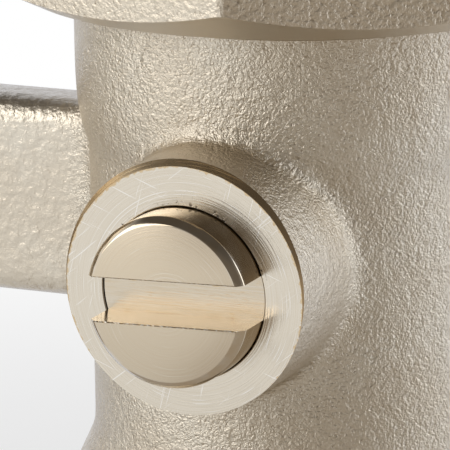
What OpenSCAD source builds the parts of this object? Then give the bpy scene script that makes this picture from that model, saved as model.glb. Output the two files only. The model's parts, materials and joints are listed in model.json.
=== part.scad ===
// Two-pipe radiator bottom connection valve, straight pattern.
// X runs along the web, -Y is the front with the spindles and +Z points to the radiator.
// The origin is the centre of the right-hand pipe end. The left leg stands at -X.

/* [Legs] */
// Distance between the two leg axes
leg_spacing = 50; // [46:1:80]
// Wall of the forged leg round the ball chamber
leg_wall = 2.55; // [2:0.05:4]
// How far the upper barrel stands out from the leg below it
barrel_step = 0.65; // [0.3:0.05:1.5]
// Height of the waist line above the spindle axis
waist_rise = 4.8; // [3:0.1:6]
// Height over which the leg swells from the waist to the barrel
waist_h = 4; // [2:0.1:6]
// Length of the plain passage between the pipe socket and the lower seat
passage_l = 4.8; // [3:0.1:8]
// Diameter of the plain passage
passage_d = 12; // [8:0.2:13]

/* [Web between the legs] */
// Thickness of the web, front to back
web_t = 4.4; // [3:0.1:7]
// Height of the web
web_h = 10.7; // [7:0.1:13]
// Radius of the four long edges of the web
web_edge_r = 1.2; // [0.4:0.1:1.5]
// Radius of the fillets where the web runs into a leg
web_fillet_r = 0.9; // [0.4:0.1:1.5]
// How far the forged boss and web lie above the machined spindle axis
forging_rise = 0.25; // [0:0.05:0.5]

/* [Pipe ends] */
// Major diameter of the outside pipe thread
pipe_thread_d = 26.44; // [24:0.02:32]
// Length of the outside pipe thread
pipe_thread_l = 11.4; // [9:0.1:14]
// Chamfer at the mouth end of the pipe thread
pipe_chamfer = 1; // [0.4:0.1:1.5]
// Height of the cone from the pipe thread up to the leg
flare_h = 4; // [2.5:0.1:6]
// Diameter of the sealing cone at the mouth
cone_mouth_d = 20.4; // [19:0.1:22]
// Diameter of the sealing cone at its inner end
cone_inner_d = 18.2; // [17:0.1:18.8]
// Depth of the sealing cone
cone_l = 4; // [3:0.1:5]
// Diameter of the straight socket behind the cone
socket_d = 16.2; // [15:0.1:16.8]
// Depth of the straight socket, from the mouth
socket_depth = 13; // [10:0.1:15]

/* [Ball and seats] */
// Diameter of the ball
ball_d = 16.6; // [13.8:0.1:20]
// Bore through the ball
ball_bore_d = 10.4; // [8.6:0.1:12.5]
// Radial room between the ball and its chamber
ball_gap = 0.5; // [0.3:0.05:1]
// Radial room between the ball and a seat's spherical face
seat_gap = 0.1; // [0.05:0.05:0.2]
// How much wider a seat's bore is than the ball's, on the radius
seat_step = 0.7; // [0.3:0.1:1]
// Radial width of a seat's spherical face
seat_contact_w = 0.85; // [0.5:0.05:1]
// Thickness of a seat along the leg
seat_t = 3.2; // [2:0.1:4]
// Radial room round a seat
seat_fit = 0.1; // [0.05:0.05:0.2]

/* [Spindle] */
// Diameter of the spindle
spindle_d = 8.6; // [7:0.1:10.4]
// Radial running gap between the spindle and its bore
spindle_gap = 0.05; // [0.02:0.01:0.1]
// Length of the spindle bore in the boss
gland_l = 4.8; // [4.6:0.1:7]
// Wall of the boss round the spindle bore
boss_wall = 2.05; // [1.5:0.05:3]
// Radius of the fillet where a boss runs into its leg
boss_fillet_r = 1; // [0.4:0.1:1.5]
// How far the spindle stands out of the boss
spindle_proud = 2.2; // [1:0.1:4]
// Chamfer round the spindle's outer face
spindle_chamfer = 0.35; // [0.1:0.05:0.6]
// Chamfer round the mouth of the spindle bore
bore_chamfer = 0.2; // [0.1:0.05:0.4]
// Width of the screwdriver slot
slot_w = 2.2; // [1:0.1:3]
// Depth of the screwdriver slot
slot_depth = 2.3; // [1:0.1:2.6]
// Turn of the right spindle as it stands, in degrees
right_spindle_turn = 1.8; // [0:0.1:90]
// Turn of the left spindle as it stands, in degrees
left_spindle_turn = 0; // [0:0.1:90]
// Radial width of the collar that keeps the spindle in
collar_w = 1.1; // [0.8:0.1:1.6]
// Thickness of the collar
collar_t = 1.3; // [0.8:0.1:2]
// Radial room round the collar
collar_gap = 0.2; // [0.1:0.05:0.3]
// How far the collar lies back from the ball chamber, clear of the seats
collar_set_back = 0.15; // [0:0.05:0.4]
// Thickness of the thrust washer
washer_t = 0.5; // [0.3:0.1:1]
// Thickness of the tang that drives the ball
tang_t = 2.4; // [1.6:0.1:3]
// Width of the tang
tang_w = 8; // [5:0.1:8.4]
// Depth of the driving slot in the ball
ball_slot_depth = 1.9; // [1.2:0.1:2.4]
// Room for the tang at the floor and on each flank of the driving slot
tang_gap = 0.15; // [0.05:0.05:0.3]

/* [Seal rings] */
// Thickness of the spindle's seal rings
spindle_ring_t = 1.1; // [0.8:0.05:1.15]
// Thickness of the sleeve's seal ring
sleeve_ring_t = 1.3; // [1:0.05:1.4]
// Room round a seal ring in its groove
ring_gap = 0.04; // [0.02:0.01:0.1]
// Extra width of a groove over its ring, on each side
groove_side = 0.1; // [0.05:0.05:0.2]
// Land between the boss face and the outer groove
outer_land = 1; // [0.6:0.1:1.4]
// Land between the two spindle grooves
middle_land = 0.6; // [0.4:0.1:1]

/* [Union sleeve] */
// Length of the sleeve's plain spigot
spigot_l = 2.2; // [2:0.1:4]
// Length of the sleeve's thread in the leg
sleeve_thread_l = 4.6; // [4:0.1:7]
// How much wider the sleeve thread is than the ball chamber, on the radius
sleeve_thread_step = 0.4; // [0.3:0.05:0.8]
// Radial room between the sleeve thread and the leg
sleeve_thread_gap = 0.05; // [0.02:0.01:0.1]
// Width across flats of the key socket in the sleeve
key_af = 12; // [10:0.5:14]
// Depth of the key socket
key_depth = 5.5; // [3:0.1:6]
// Radial width of the ledge under the key socket
key_ledge = 0.1; // [0.1:0.1:1]
// Thickness of the sleeve's flange
flange_t = 2.5; // [1.5:0.1:4]
// Thickness of the flat gasket
gasket_t = 2; // [1:0.1:3]
// Radial width of the flat gasket
gasket_w = 3.8; // [2:0.1:4]
// How far the gasket's edge lies inside the flange's edge
gasket_inset = 0.05; // [0:0.05:0.5]

/* [Union nuts] */
// Major diameter of the union thread
union_thread_d = 26.44; // [24:0.02:32]
// Depth of the union thread, on the radius
union_thread_depth = 1.16; // [0.9:0.02:1.4]
// Wall from the major diameter to a flat of the nut
nut_wall = 2.78; // [1.6:0.02:4]
// Radius of the upright corners
nut_corner_r = 0.5; // [0.2:0.1:1.5]
// Depth of the chamfer on the flats at both ends
nut_chamfer = 1.4; // [0.4:0.1:1.5]
// Slope of the end chamfers, in degrees from the end face
nut_chamfer_angle = 26; // [15:1:45]
// Radial depth of the relief behind the union thread's major diameter
nut_relief = 0.1; // [0.05:0.05:0.3]
// Height of the relief's run-out above the flange and above the gasket
nut_run_out = 0.2; // [0.1:0.1:0.5]
// Depth from the mouth of the nut to the gasket
nut_reach = 10.2; // [8:0.1:14]
// Thickness of the lip that the sleeve's flange holds
lip_t = 2; // [1.5:0.1:3]
// Gap between the nut and the leg's shoulder
nut_rest_gap = 0.3; // [0.1:0.05:0.6]
// Play between the lip and the sleeve's flange
nut_play = 0.45; // [0.2:0.05:1]
// Radial room between the lip and the leg's neck
lip_gap = 0.3; // [0.2:0.05:0.5]
// Wall of the leg's neck inside the lip
neck_wall = 1.3; // [1:0.05:2]
// Radial room for the flange where it passes the nut's thread
flange_gap = 0.2; // [0.1:0.05:0.4]
// Radial room round the flange in the nut
pocket_gap = 0.5; // [0.2:0.05:1]
// Turn of the right nut as it stands, in degrees
right_nut_turn = 40.5; // [0:0.5:60]
// Turn of the left nut as it stands, in degrees
left_nut_turn = 22.5; // [0:0.5:60]

/* [Hidden] */
$fn = 96;
small_fn = 48;
cut_over = 1;
edge_break = 0.3;

// Root fillets: steps of their round, points along their path, how far the round's ends bite into
// the metal and how deep the root lies in it
fillet_steps = 5;
boss_fillet_points = 48;
web_corner_points = 5;
fillet_bite = 0.03;
fillet_root = 0.6;

right_x = 0;
left_x = -leg_spacing;

// Ball, seats and chamber, as radii and as distances from the ball's centre
ball_r = ball_d / 2;
chamber_r = ball_r + ball_gap;
seat_ball_r = ball_r + seat_gap;
seat_bore_r = ball_bore_d / 2 + seat_step;
seat_near = sqrt(pow(seat_ball_r, 2) - pow(seat_bore_r + seat_contact_w, 2));
seat_far = seat_near + seat_t;
spindle_z = socket_depth + passage_l + seat_far;

// Outside of a leg, from the pipe end upwards
pipe_r = pipe_thread_d / 2;
leg_r = chamber_r + leg_wall;
barrel_r = leg_r + barrel_step;
waist_z = spindle_z + waist_rise;
sleeve_foot_z = spindle_z + seat_far;
spigot_top_z = sleeve_foot_z + spigot_l;
neck_top_z = spigot_top_z + sleeve_thread_l;
sleeve_thread_r = chamber_r + sleeve_thread_step;
neck_r = sleeve_thread_r + neck_wall;
nut_foot_z = neck_top_z - nut_play - lip_t;
shoulder_z = nut_foot_z - nut_rest_gap;

// Spindle and boss, as distances from the leg's axis towards the front
spindle_r = spindle_d / 2;
spindle_bore_r = spindle_r + spindle_gap;
boss_r = spindle_bore_r + boss_wall;
collar_r = spindle_r + collar_w;
collar_start = chamber_r + collar_set_back;
collar_end = collar_start + collar_t;
washer_start = collar_end + spindle_gap;
gland_start = washer_start + washer_t;
boss_reach = gland_start + gland_l;
spindle_reach = boss_reach + spindle_proud;
ball_slot_floor = ball_r - ball_slot_depth;
tang_tip = ball_slot_floor + tang_gap;
ring_groove_w = spindle_ring_t + 2 * groove_side;
spindle_groove_r = spindle_r - spindle_ring_t - ring_gap;
outer_groove = boss_reach - outer_land - ring_groove_w;
inner_groove = outer_groove - middle_land - ring_groove_w;

// Sleeve, gasket and nut, from the neck upwards
union_minor_r = union_thread_d / 2 - union_thread_depth;
flange_r = union_minor_r - flange_gap;
flange_top_z = neck_top_z + flange_t;
gasket_top_z = flange_top_z + gasket_t;
nut_top_z = gasket_top_z + nut_reach;
sleeve_bore_r = key_af / 2 - key_ledge;
spigot_r = chamber_r - seat_fit;
sleeve_groove_h = sleeve_ring_t + 2 * groove_side;
sleeve_groove_z = spigot_top_z - edge_break - sleeve_groove_h;
sleeve_groove_r = chamber_r - sleeve_ring_t - 2 * ring_gap;
pocket_r = flange_r + pocket_gap;
relief_r = union_thread_d / 2 + nut_relief;
flat_r = union_thread_d / 2 + nut_wall;
nut_reach_r = flat_r / cos(30);
nut_rim_r = flat_r - nut_chamfer;
corner_chamfer_h = (nut_reach_r - nut_rim_r) * tan(nut_chamfer_angle);
lip_r = neck_r + lip_gap;

nickel = [0.80, 0.75, 0.67];
polished_nickel = [0.86, 0.81, 0.71];
chromed = [0.80, 0.81, 0.82];
brass = [0.78, 0.62, 0.35];
ptfe = [0.93, 0.93, 0.90];
rubber = [0.10, 0.10, 0.11];

// Places what is drawn upright on a leg's axis
module on_leg(x) {
    translate([x, 0, 0])
        children();
}

// Places what is drawn upright on a leg's spindle axis, with its +Z towards the front
module on_spindle(x, turn = 0) {
    translate([x, 0, spindle_z])
        rotate([90, 0, 0])
            rotate([0, 0, turn])
                children();
}

// A ring of round section about the Z axis
module seal_ring(centre_r, thickness, z) {
    rotate_extrude()
        translate([centre_r, z])
            circle(d = thickness, $fn = small_fn);
}

// Body

// The forged outside of one leg, turned about its axis
module leg_outside() {
    waist = [for (t = [0:15:90])
        [leg_r + barrel_step * sin(t), waist_z + waist_h * (1 - cos(t))]];
    rotate_extrude()
        polygon(concat(
            [[0, 0], [pipe_r - pipe_chamfer, 0], [pipe_r, pipe_chamfer]],
            [[pipe_r, pipe_thread_l], [leg_r, pipe_thread_l + flare_h]],
            waist,
            [[barrel_r, shoulder_z - edge_break], [barrel_r - edge_break, shoulder_z]],
            [[neck_r, shoulder_z], [neck_r, neck_top_z - edge_break]],
            [[neck_r - edge_break, neck_top_z], [0, neck_top_z]]
        ));
}

// Everything that is bored out of one leg from its two ends
module leg_inside() {
    cone_slope = (cone_mouth_d - cone_inner_d) / 2 / cone_l;
    rotate_extrude()
        polygon([
            [0, -cut_over], [cone_mouth_d / 2 + cone_slope * cut_over, -cut_over],
            [cone_inner_d / 2, cone_l], [socket_d / 2, cone_l],
            [socket_d / 2, socket_depth], [passage_d / 2, socket_depth],
            [passage_d / 2, spindle_z - seat_far], [chamber_r, spindle_z - seat_far],
            [chamber_r, spigot_top_z], [sleeve_thread_r, spigot_top_z],
            [sleeve_thread_r, neck_top_z + cut_over], [0, neck_top_z + cut_over]
        ]);
}

// The stepped bore for the spindle, from the ball chamber out through the boss
module spindle_bore() {
    collar_bore_r = collar_r + collar_gap;
    rotate_extrude()
        polygon([
            [0, 0], [collar_bore_r, 0], [collar_bore_r, gland_start],
            [spindle_bore_r, gland_start], [spindle_bore_r, boss_reach - bore_chamfer],
            [spindle_bore_r + bore_chamfer, boss_reach],
            [spindle_bore_r + bore_chamfer, boss_reach + cut_over], [0, boss_reach + cut_over]
        ]);
}

// The web's section across its length, with its four long edges rounded
module web_section() {
    for (side_y = [-1, 1], side_z = [-1, 1])
        translate([side_y * (web_t / 2 - web_edge_r), side_z * (web_h / 2 - web_edge_r)])
            circle(r = web_edge_r, $fn = small_fn);
    square([web_t - 2 * web_edge_r, web_h], center = true);
    square([web_t, web_h - 2 * web_edge_r], center = true);
}

module web() {
    translate([left_x, 0, spindle_z + forging_rise])
        rotate([90, 0, 90])
            linear_extrude(height = leg_spacing)
                web_section();
}

// Radius of a leg's forged outside at a height above its flare
function leg_r_at(z) =
    let (t = min(max((z - waist_z) / waist_h, 0), 1))
    leg_r + barrel_step * sqrt(1 - pow(1 - t, 2));

// Section of a root fillet at one point of an outline that stands out of a leg. The point and its
// normal are [across, up]. The section starts in the metal, runs along the round and ends in the leg.
function fillet_section(point, normal, r) =
    let (
        c = point + r * normal,
        skin = leg_r_at(c[1]),
        out = sqrt(pow(skin + r, 2) - pow(c[0], 2)),
        to_rib = [-normal[0], -normal[1], 0],
        to_leg = [-c[0], 0, -out] / (skin + r),
        span = acos(to_rib * to_leg),
        centre = [c[0], c[1], out],
        root = point - fillet_root * normal,
        low = sqrt(pow(leg_r_at(root[1]), 2) - pow(root[0], 2)) - fillet_root
    )
    concat(
        [[root[0], root[1], low], centre + (r + fillet_bite) * to_rib],
        [for (k = [1:fillet_steps - 1])
            centre + r * (sin(span * (1 - k / fillet_steps)) * to_rib
                + sin(span * k / fillet_steps) * to_leg) / sin(span)],
        [centre + (r + fillet_bite) * to_leg]
    );

// The fillet round a closed outline of [point, normal] pairs, with +Z pointing out of the leg
module root_fillet(outline, r) {
    rings = [for (o = outline) fillet_section(o[0], o[1], r)];
    count = len(rings);
    size = len(rings[0]);
    polyhedron(
        points = [for (ring = rings, p = ring) p],
        faces = [for (i = [0:count - 1], j = [0:size - 1])
            let (next_i = (i + 1) % count, next_j = (j + 1) % size)
            each [
                [i * size + j, i * size + next_j, next_i * size + next_j],
                [i * size + j, next_i * size + next_j, next_i * size + j]
            ]]
    );
}

// The fillet where a boss runs into its leg
module boss_fillet() {
    outline = [for (k = [0:boss_fillet_points - 1])
        let (a = 360 * k / boss_fillet_points, normal = [cos(a), sin(a)])
        [[0, spindle_z + forging_rise] + boss_r * normal, normal]];
    rotate([90, 0, 0])
        root_fillet(outline, boss_fillet_r);
}

// The fillet where the web runs into a leg: it follows the web's four rounded corners
module web_fillet(turn) {
    corner_y = web_t / 2 - web_edge_r;
    corner_z = web_h / 2 - web_edge_r;
    corners = [[corner_y, corner_z], [-corner_y, corner_z], [-corner_y, -corner_z], [corner_y, -corner_z]];
    outline = [for (q = [0:3], k = [0:web_corner_points - 1])
        let (a = 90 * (q + k / (web_corner_points - 1)), normal = [cos(a), sin(a)])
        [[0, spindle_z + forging_rise] + corners[q] + web_edge_r * normal, normal]];
    rotate([90, 0, turn])
        root_fillet(outline, web_fillet_r);
}

module body() {
    color(nickel)
        difference() {
            union() {
                web();
                for (x = [right_x, left_x]) {
                    on_leg(x) {
                        leg_outside();
                        boss_fillet();
                        web_fillet(x == right_x ? -90 : 90);
                    }
                    translate([0, 0, forging_rise])
                        on_spindle(x)
                            cylinder(r = boss_r, h = boss_reach);
                }
            }
            for (x = [right_x, left_x]) {
                on_leg(x)
                    leg_inside();
                on_spindle(x)
                    spindle_bore();
            }
        }
}

// Union sleeve, nut and gasket

// Screwed into the top of a leg: it holds the upper seat down and keeps the nut on
module union_sleeve(x) {
    key_foot_z = flange_top_z - key_depth;
    color(nickel)
        on_leg(x)
            difference() {
                rotate_extrude()
                    polygon([
                        [0, sleeve_foot_z], [spigot_r, sleeve_foot_z],
                        [spigot_r, sleeve_groove_z], [sleeve_groove_r, sleeve_groove_z],
                        [sleeve_groove_r, sleeve_groove_z + sleeve_groove_h],
                        [spigot_r, sleeve_groove_z + sleeve_groove_h],
                        [spigot_r, spigot_top_z + sleeve_thread_gap],
                        [sleeve_thread_r - sleeve_thread_gap, spigot_top_z + sleeve_thread_gap],
                        [sleeve_thread_r - sleeve_thread_gap, neck_top_z],
                        [flange_r, neck_top_z], [flange_r, flange_top_z], [0, flange_top_z]
                    ]);
                translate([0, 0, sleeve_foot_z - cut_over])
                    cylinder(r = sleeve_bore_r, h = flange_top_z - sleeve_foot_z + 2 * cut_over);
                translate([0, 0, key_foot_z])
                    cylinder(d = key_af / cos(30), h = key_depth + cut_over, $fn = 6);
            }
}

// A nut's hexagon with rounded corners
module nut_section() {
    centre_r = (flat_r - nut_corner_r) / cos(30);
    corners = [for (k = [0:5]) 60 * k];
    for (a = corners)
        translate(centre_r * [cos(a), sin(a)])
            circle(r = nut_corner_r, $fn = small_fn);
    polygon([for (a = corners, b = [a - 30, a + 30])
        centre_r * [cos(a), sin(a)] + nut_corner_r * [cos(b), sin(b)]]);
}

module union_nut(x, turn) {
    thread_foot_z = gasket_top_z + nut_run_out;
    mouth_chamfer = relief_r - union_minor_r;
    color(nickel)
        on_leg(x)
            difference() {
                intersection() {
                    translate([0, 0, nut_foot_z])
                        rotate([0, 0, turn])
                            linear_extrude(height = nut_top_z - nut_foot_z)
                                nut_section();
                    rotate_extrude()
                        polygon([
                            [0, nut_foot_z], [nut_rim_r, nut_foot_z],
                            [nut_reach_r, nut_foot_z + corner_chamfer_h],
                            [nut_reach_r, nut_top_z - corner_chamfer_h],
                            [nut_rim_r, nut_top_z], [0, nut_top_z]
                        ]);
                }
                rotate_extrude()
                    polygon([
                        [0, nut_foot_z - cut_over], [lip_r, nut_foot_z - cut_over],
                        [lip_r, nut_foot_z + lip_t], [pocket_r, nut_foot_z + lip_t],
                        [pocket_r, flange_top_z + nut_run_out],
                        [relief_r, flange_top_z + nut_run_out],
                        [relief_r, thread_foot_z], [union_minor_r, thread_foot_z],
                        [union_minor_r, nut_top_z - mouth_chamfer], [relief_r, nut_top_z],
                        [relief_r, nut_top_z + cut_over], [0, nut_top_z + cut_over]
                    ]);
            }
}

module flat_gasket(x) {
    color(rubber)
        on_leg(x)
            rotate_extrude()
                translate([flange_r - gasket_inset - gasket_w, flange_top_z])
                    square([gasket_w, gasket_t]);
}

module sleeve_seal_ring(x) {
    color(rubber)
        on_leg(x)
            seal_ring(chamber_r - ring_gap - sleeve_ring_t / 2, sleeve_ring_t,
                sleeve_groove_z + sleeve_groove_h / 2);
}

// Ball and seats

// A seat above the ball, or below it when it is mirrored
module seat(x, mirrored) {
    color(ptfe)
        translate([x, 0, spindle_z])
            mirror([0, 0, mirrored ? 1 : 0])
                rotate_extrude()
                    difference() {
                        translate([seat_bore_r, seat_near])
                            square([spigot_r - seat_bore_r, seat_t]);
                        circle(r = seat_ball_r);
                    }
}

// The shut ball: its bore lies across the leg and its driving slot runs up and down
module ball(x, turn) {
    slot_over = ball_r - ball_slot_floor + cut_over;
    color(chromed)
        on_spindle(x, turn)
            difference() {
                sphere(r = ball_r);
                rotate([0, 90, 0])
                    cylinder(d = ball_bore_d, h = ball_d + cut_over, center = true);
                translate([0, 0, ball_slot_floor + slot_over / 2])
                    cube([tang_t + 2 * tang_gap, ball_d, slot_over], center = true);
            }
}

// Spindle and its seals

module spindle(x, turn) {
    color(polished_nickel)
        on_spindle(x, turn) {
            difference() {
                rotate_extrude()
                    polygon([
                        [0, collar_start], [collar_r, collar_start], [collar_r, collar_end],
                        [spindle_r, collar_end],
                        [spindle_r, inner_groove], [spindle_groove_r, inner_groove],
                        [spindle_groove_r, inner_groove + ring_groove_w],
                        [spindle_r, inner_groove + ring_groove_w],
                        [spindle_r, outer_groove], [spindle_groove_r, outer_groove],
                        [spindle_groove_r, outer_groove + ring_groove_w],
                        [spindle_r, outer_groove + ring_groove_w],
                        [spindle_r, spindle_reach - spindle_chamfer],
                        [spindle_r - spindle_chamfer, spindle_reach], [0, spindle_reach]
                    ]);
                translate([0, 0, spindle_reach + (cut_over - slot_depth) / 2])
                    cube([spindle_d + cut_over, slot_w, slot_depth + cut_over], center = true);
            }
            intersection() {
                translate([0, 0, tang_tip])
                    cylinder(d = tang_w, h = collar_start - tang_tip + collar_t / 2);
                cube([tang_t, tang_w + cut_over, 2 * collar_end], center = true);
            }
        }
}

module spindle_seal_ring(x, groove_start) {
    color(rubber)
        on_spindle(x)
            seal_ring(spindle_r - spindle_ring_t / 2, spindle_ring_t - ring_gap,
                groove_start + ring_groove_w / 2);
}

module thrust_washer(x) {
    color(ptfe)
        on_spindle(x)
            translate([0, 0, washer_start])
                difference() {
                    cylinder(r = collar_r + collar_gap / 2, h = washer_t);
                    translate([0, 0, -cut_over])
                        cylinder(r = spindle_bore_r + spindle_gap, h = washer_t + 2 * cut_over);
                }
}

body();

union_sleeve(right_x);  // right_union_sleeve
union_nut(right_x, right_nut_turn);  // right_union_nut
flat_gasket(right_x);  // right_flat_gasket
sleeve_seal_ring(right_x);  // right_sleeve_seal_ring
seat(right_x, false);  // right_upper_seat
ball(right_x, right_spindle_turn);  // right_ball
seat(right_x, true);  // right_lower_seat
spindle(right_x, right_spindle_turn);  // right_spindle
spindle_seal_ring(right_x, outer_groove);  // right_outer_seal_ring
spindle_seal_ring(right_x, inner_groove);  // right_inner_seal_ring
thrust_washer(right_x);  // right_thrust_washer

union_sleeve(left_x);  // left_union_sleeve
union_nut(left_x, left_nut_turn);  // left_union_nut
flat_gasket(left_x);  // left_flat_gasket
sleeve_seal_ring(left_x);  // left_sleeve_seal_ring
seat(left_x, false);  // left_upper_seat
ball(left_x, left_spindle_turn);  // left_ball
seat(left_x, true);  // left_lower_seat
spindle(left_x, left_spindle_turn);  // left_spindle
spindle_seal_ring(left_x, outer_groove);  // left_outer_seal_ring
spindle_seal_ring(left_x, inner_groove);  // left_inner_seal_ring
thrust_washer(left_x);  // left_thrust_washer
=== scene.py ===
"""Finish of a two-pipe radiator bottom valve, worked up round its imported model."""
import json
import math

import bmesh
import bpy
from bpy.props import FloatProperty, FloatVectorProperty, IntProperty, PointerProperty
from mathutils import Matrix, Vector


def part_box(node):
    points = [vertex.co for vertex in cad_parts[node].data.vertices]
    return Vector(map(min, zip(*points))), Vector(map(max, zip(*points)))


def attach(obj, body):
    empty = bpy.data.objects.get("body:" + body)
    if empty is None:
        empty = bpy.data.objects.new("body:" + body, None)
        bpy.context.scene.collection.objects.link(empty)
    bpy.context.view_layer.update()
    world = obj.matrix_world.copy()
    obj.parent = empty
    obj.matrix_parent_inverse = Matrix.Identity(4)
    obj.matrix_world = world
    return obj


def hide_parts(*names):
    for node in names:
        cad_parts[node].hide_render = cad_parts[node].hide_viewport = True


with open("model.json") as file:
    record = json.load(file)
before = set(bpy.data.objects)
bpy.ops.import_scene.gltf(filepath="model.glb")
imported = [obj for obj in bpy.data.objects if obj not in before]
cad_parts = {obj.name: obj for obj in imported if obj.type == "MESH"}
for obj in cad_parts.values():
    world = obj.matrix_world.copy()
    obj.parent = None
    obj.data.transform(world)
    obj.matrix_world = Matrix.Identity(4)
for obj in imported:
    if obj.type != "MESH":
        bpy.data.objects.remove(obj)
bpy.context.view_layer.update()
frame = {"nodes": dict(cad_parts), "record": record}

bl_info = {
    "name": "Radiator Bottom Valve",
    "version": (1, 0, 0),
    "blender": (4, 5, 0),
    "location": "View3D > Sidebar > Valve",
    "description": "Forged body, union nuts, spindles and studio of a two-pipe radiator valve",
    "category": "Object",
}

MM = 0.001
SIDES = ("right", "left")
TURN = 2 * math.pi


# Where things are, read from the frame


def mount_mm(name, size):
    """A size of one of the record's mounts, in millimetres."""
    mount = next(m for m in frame["record"]["mounts"] if m["name"] == name)
    return mount["dims"][size]


def half_width_mm(node):
    """Half of a node's width across X, in millimetres."""
    low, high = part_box(node)
    return (high.x - low.x) / 2 / MM


def leg_x(side):
    """The X of a leg's axis."""
    low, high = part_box(side + "_union_sleeve")
    return (low.x + high.x) / 2


def spindle_height():
    """The Z of both spindle axes."""
    low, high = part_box("right_ball")
    return (low.z + high.z) / 2


def boss_front():
    """The Y of the bosses' machined faces."""
    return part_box("body")[0].y


# Sizes and colours


def length(label, millimetres, text):
    """A size that is shown in the scene's length unit."""
    return FloatProperty(name=label, description=text, default=millimetres * MM, unit="LENGTH", precision=5)


def colour(label, rgb, text):
    """A surface colour, as linear values."""
    return FloatVectorProperty(name=label, description=text, default=rgb, size=3, min=0, max=1, subtype="COLOR")


def tone(label, rgb, text):
    """A tone of the light, where 1 is white."""
    return FloatVectorProperty(name=label, description=text, default=rgb, size=3, min=0, max=4, subtype="COLOR")


def angle(label, degrees, text):
    """An angle, given in degrees."""
    return FloatProperty(name=label, description=text, default=math.radians(degrees), subtype="ANGLE", unit="ROTATION")


class LegSizes(bpy.types.PropertyGroup):
    leg_r: length("Leg radius", 11.35, "Radius of a leg below its waist")
    barrel_r: length("Barrel radius", 12.0, "Radius of a leg above its waist")
    waist_z: length("Waist height", 30.8, "Height at which a leg starts to swell")
    waist_h: length("Swell height", 4.0, "Height over which a leg swells to its barrel")
    shoulder_z: length("Shoulder height", 38.25, "Height of the turned shoulder under a nut")
    neck_r: length("Neck radius", 10.5, "Radius of the turned neck inside a nut")
    pipe_r: length("Pipe end radius", mount_mm("right_pipe_thread", "r_mm"), "Major radius of the pipe thread")
    thread_l: length("Pipe thread length", 11.4, "Length of the pipe end")
    flare_h: length("Flare height", 4.0, "Height of the cone from the pipe end up to the leg")
    end_chamfer: length("Mouth chamfer", 1.0, "Chamfer round the foot of the pipe thread")
    cone_mouth_r: length("Cone mouth radius", 10.2, "Radius of the sealing cone at its mouth")
    cone_inner_r: length("Cone inner radius", 9.1, "Radius of the sealing cone at its inner end")
    cone_l: length("Cone depth", 4.0, "Depth of the sealing cone")
    socket_r: length("Socket radius", mount_mm("right_pipe_socket", "r_mm"), "Radius of the straight socket")
    socket_l: length("Socket depth", 13.0, "Depth of the straight socket from the mouth")
    passage_r: length("Passage radius", 6.0, "Radius of the plain passage")
    chamber_r: length("Chamber radius", 8.8, "Radius of the ball chamber")
    spigot_l: length("Spigot length", 2.2, "Length of the plain spigot at the sleeve's foot")
    sleeve_r: length("Sleeve thread radius", 9.2, "Radius of the bore that takes the sleeve")
    edge: length("Broken edge", 0.3, "Chamfer on the turned edges")


class BossSizes(bpy.types.PropertyGroup):
    boss_r: length("Boss radius", 6.4, "Radius of a spindle boss")
    rise: length("Forging rise", 0.25, "How far boss and web lie above the spindle axis")
    bore_r: length("Spindle bore radius", 4.35, "Radius of the spindle bore")
    collar_r: length("Collar bore radius", 5.6, "Radius of the bore behind it")
    rim: length("Rim chamfer", 0.08, "Broken edge round the boss face")
    mouth: length("Bore chamfer", 0.05, "Broken edge round the spindle bore")


class WebSizes(bpy.types.PropertyGroup):
    thickness: length("Web thickness", 4.4, "Thickness of the web, front to back")
    height: length("Web height", 10.7, "Height of the web")
    edge_r: length("Web edge radius", 1.2, "Radius of the web's long edges")


class ForgingFinish(bpy.types.PropertyGroup):
    voxel: length("Skin cell", 0.36, "Cell of the mesh that forms the forged skin")
    passes: IntProperty(name="Soft passes", description="Passes that round the forged corners", default=9, min=0)


class ThreadSizes(bpy.types.PropertyGroup):
    pitch: length("Thread pitch", 1.814, "Pitch of the pipe threads, 14 turns to the inch")
    depth: length("Thread depth", 1.16, "Depth of the pipe threads")
    flank: angle("Flank angle", 27.5, "Angle of a flank from square")
    root: length("Root width", 0.28, "Width of a groove at its root")
    clear: length("Tool clearance", 0.5, "How far a thread tool stands out of the metal")
    steps: IntProperty(name="Steps a turn", description="Steps in one turn of a thread", default=64, min=16)


class NutSizes(bpy.types.PropertyGroup):
    flats: length("Across flats", 32.0, "Width of a union nut across its flats")
    rim_r: length("Rim radius", 14.6, "Radius of the flat end faces")
    slope: angle("End chamfer slope", 26, "Slope of the end chamfers from the end face")
    corner_soft: length("Corner softness", 0.4, "Setback of the upright corners' round")
    lip_r: length("Lip radius", 10.8, "Radius of the bore in the lip")
    lip_t: length("Lip thickness", 2.0, "Thickness of the lip")
    pocket_r: length("Pocket radius", half_width_mm("right_union_sleeve") + 0.5, "Radius of the flange's pocket")
    pocket_h: length("Pocket height", 5.15, "Height of the pocket's end above the nut's foot")
    relief_r: length("Relief radius", 13.32, "Radius of the thread's relief")
    relief_h: length("Relief height", 7.15, "Height of the relief's end above the nut's foot")
    minor_r: length("Thread minor radius", mount_mm("right_union_thread", "r_mm"), "Minor radius of the union thread")


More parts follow.
